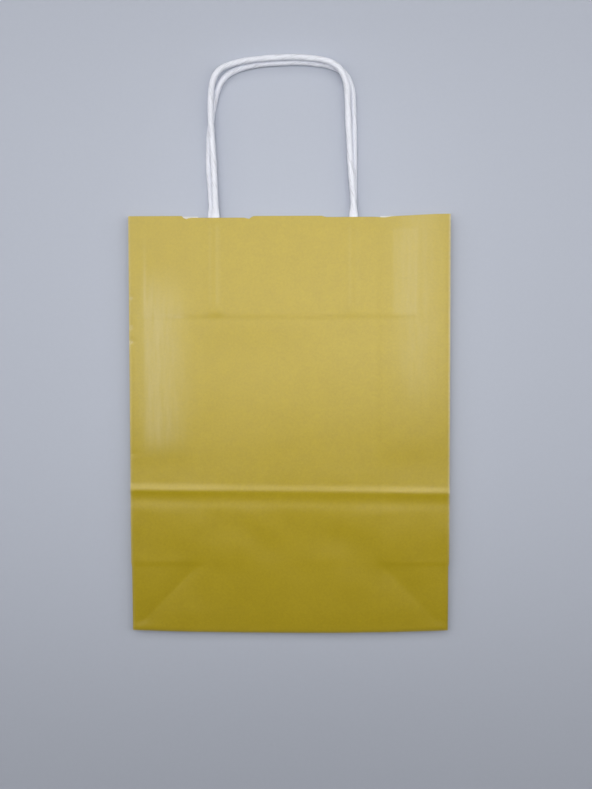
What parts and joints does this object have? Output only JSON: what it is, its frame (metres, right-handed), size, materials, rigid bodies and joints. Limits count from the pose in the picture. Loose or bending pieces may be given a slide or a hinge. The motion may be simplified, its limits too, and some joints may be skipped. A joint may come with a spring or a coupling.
{
  "type": "gift bag",
  "caption": "Small block-bottom paper gift bag folded flat, with side gussets, a fold-up base and twisted paper cord handles held between glued strips.",
  "frame": {"origin": "middle of the underside of the block bottom, the face the open bag stands on and the flat bag lies on", "axes": "+X across the bag's width, +Y from the folded bottom towards the handles, +Z out of the front panel"},
  "size_m": [0.18, 0.3235, 0.0074],
  "materials": {
    "gold_coated_paper": "satin",
    "bare_white_paper": "matt",
    "white_twisted_paper_cord": "matt"
  },
  "bodies": {
    "back": {"back_panel": "gold_coated_paper", "rear_patch_outer": "bare_white_paper", "rear_patch_inner": "bare_white_paper", "rear_handle_end_left": "white_twisted_paper_cord", "rear_handle_end_right": "white_twisted_paper_cord"},
    "back_foot": {"back_panel_foot": "gold_coated_paper"},
    "base": {"base_outer_flap": "gold_coated_paper", "base_inner_flap": "gold_coated_paper", "left_bottom_tuck": "gold_coated_paper", "right_bottom_tuck": "gold_coated_paper"},
    "left_base_triangle": {"left_gusset_base_triangle": "gold_coated_paper"},
    "right_base_triangle": {"right_gusset_base_triangle": "gold_coated_paper"},
    "left_back_triangle": {"left_gusset_back_triangle": "gold_coated_paper"},
    "right_back_triangle": {"right_gusset_back_triangle": "gold_coated_paper"},
    "left_back_leaf": {"left_gusset_back_leaf": "gold_coated_paper"},
    "right_back_leaf": {"right_gusset_back_leaf": "gold_coated_paper"},
    "left_front_leaf": {"left_gusset_front_leaf": "gold_coated_paper"},
    "right_front_leaf": {"right_gusset_front_leaf": "gold_coated_paper"},
    "front": {"front_panel": "gold_coated_paper", "side_seam_flap": "gold_coated_paper", "front_patch_outer": "bare_white_paper", "front_patch_inner": "bare_white_paper", "front_handle_end_left": "white_twisted_paper_cord", "front_handle_end_right": "white_twisted_paper_cord"},
    "front_loop": {"front_handle": "white_twisted_paper_cord"},
    "rear_loop": {"rear_handle": "white_twisted_paper_cord"}
  },
  "joints": [
    {"name": "left_gusset_back_fold", "type": "hinge", "parent": "back", "child": "left_back_leaf", "pos_m": [-0.09, 0.0785, 0.0014], "axis": [0, -1, 0], "range_deg": [0, 86.77]},
    {"name": "left_gusset_middle_fold", "type": "hinge", "parent": "left_back_leaf", "child": "left_front_leaf", "pos_m": [-0.05107, 0.0785, 0.0038], "axis": [0, 1, 0], "range_deg": [0, 173.53]},
    {"name": "front_panel_fold", "type": "hinge", "parent": "left_front_leaf", "child": "front", "pos_m": [-0.09, 0.0785, 0.0062], "axis": [0, -1, 0], "range_deg": [0, 86.77]},
    {"name": "right_gusset_back_fold", "type": "hinge", "parent": "back", "child": "right_back_leaf", "pos_m": [0.09, 0.0785, 0.0014], "axis": [0, 1, 0], "range_deg": [0, 86.77]},
    {"name": "right_gusset_middle_fold", "type": "hinge", "parent": "right_back_leaf", "child": "right_front_leaf", "pos_m": [0.05107, 0.0785, 0.0038], "axis": [0, -1, 0], "range_deg": [0, 173.53]},
    {"name": "back_foot_fold", "type": "hinge", "parent": "back", "child": "back_foot", "pos_m": [0, 0, 0.0012], "axis": [-1, 0, 0], "range_deg": [0, 180]},
    {"name": "base_fold", "type": "hinge", "parent": "back_foot", "child": "base", "pos_m": [0, 0.039, 0.001], "axis": [1, 0, 0], "range_deg": [0, 90]},
    {"name": "left_base_triangle_fold", "type": "hinge", "parent": "base", "child": "left_base_triangle", "pos_m": [-0.09, 0, 0.0006], "axis": [0, -1, 0], "range_deg": [0, 90], "deforming": ["left_gusset_base_triangle"]},
    {"name": "right_base_triangle_fold", "type": "hinge", "parent": "base", "child": "right_base_triangle", "pos_m": [0.09, 0, 0.0006], "axis": [0, 1, 0], "range_deg": [0, 90], "deforming": ["right_gusset_base_triangle"]},
    {"name": "left_back_triangle_fold", "type": "hinge", "parent": "back_foot", "child": "left_back_triangle", "pos_m": [-0.09, 0.0195, 0.001], "axis": [0, 1, 0], "range_deg": [0, 90], "deforming": ["left_gusset_back_triangle"]},
    {"name": "right_back_triangle_fold", "type": "hinge", "parent": "back_foot", "child": "right_back_triangle", "pos_m": [0.09, 0.0195, 0.001], "axis": [0, -1, 0], "range_deg": [0, 90], "deforming": ["right_gusset_back_triangle"]},
    {"name": "front_handle_fold", "type": "hinge", "parent": "front", "child": "front_loop", "pos_m": [0, 0.196, 0.0074], "axis": [1, 0, 0], "range_deg": [0, 170]},
    {"name": "rear_handle_fold", "type": "hinge", "parent": "back", "child": "rear_loop", "pos_m": [0, 0.196, 0.0001], "axis": [-1, 0, 0], "range_deg": [0, 170]}
  ],
  "couplings": [
    {"joint": "left_gusset_middle_fold", "follows": "left_gusset_back_fold", "ratio": 2},
    {"joint": "front_panel_fold", "follows": "left_gusset_back_fold", "ratio": 1},
    {"joint": "right_gusset_back_fold", "follows": "left_gusset_back_fold", "ratio": 1},
    {"joint": "right_gusset_middle_fold", "follows": "left_gusset_back_fold", "ratio": 2},
    {"joint": "back_foot_fold", "follows": "left_gusset_back_fold", "ratio": 2.0745},
    {"joint": "base_fold", "follows": "left_gusset_back_fold", "ratio": 1.0373},
    {"joint": "left_base_triangle_fold", "follows": "left_gusset_back_fold", "ratio": 1.0373},
    {"joint": "right_base_triangle_fold", "follows": "left_gusset_back_fold", "ratio": 1.0373},
    {"joint": "left_back_triangle_fold", "follows": "left_gusset_back_fold", "ratio": 1.0373},
    {"joint": "right_back_triangle_fold", "follows": "left_gusset_back_fold", "ratio": 1.0373}
  ]
}
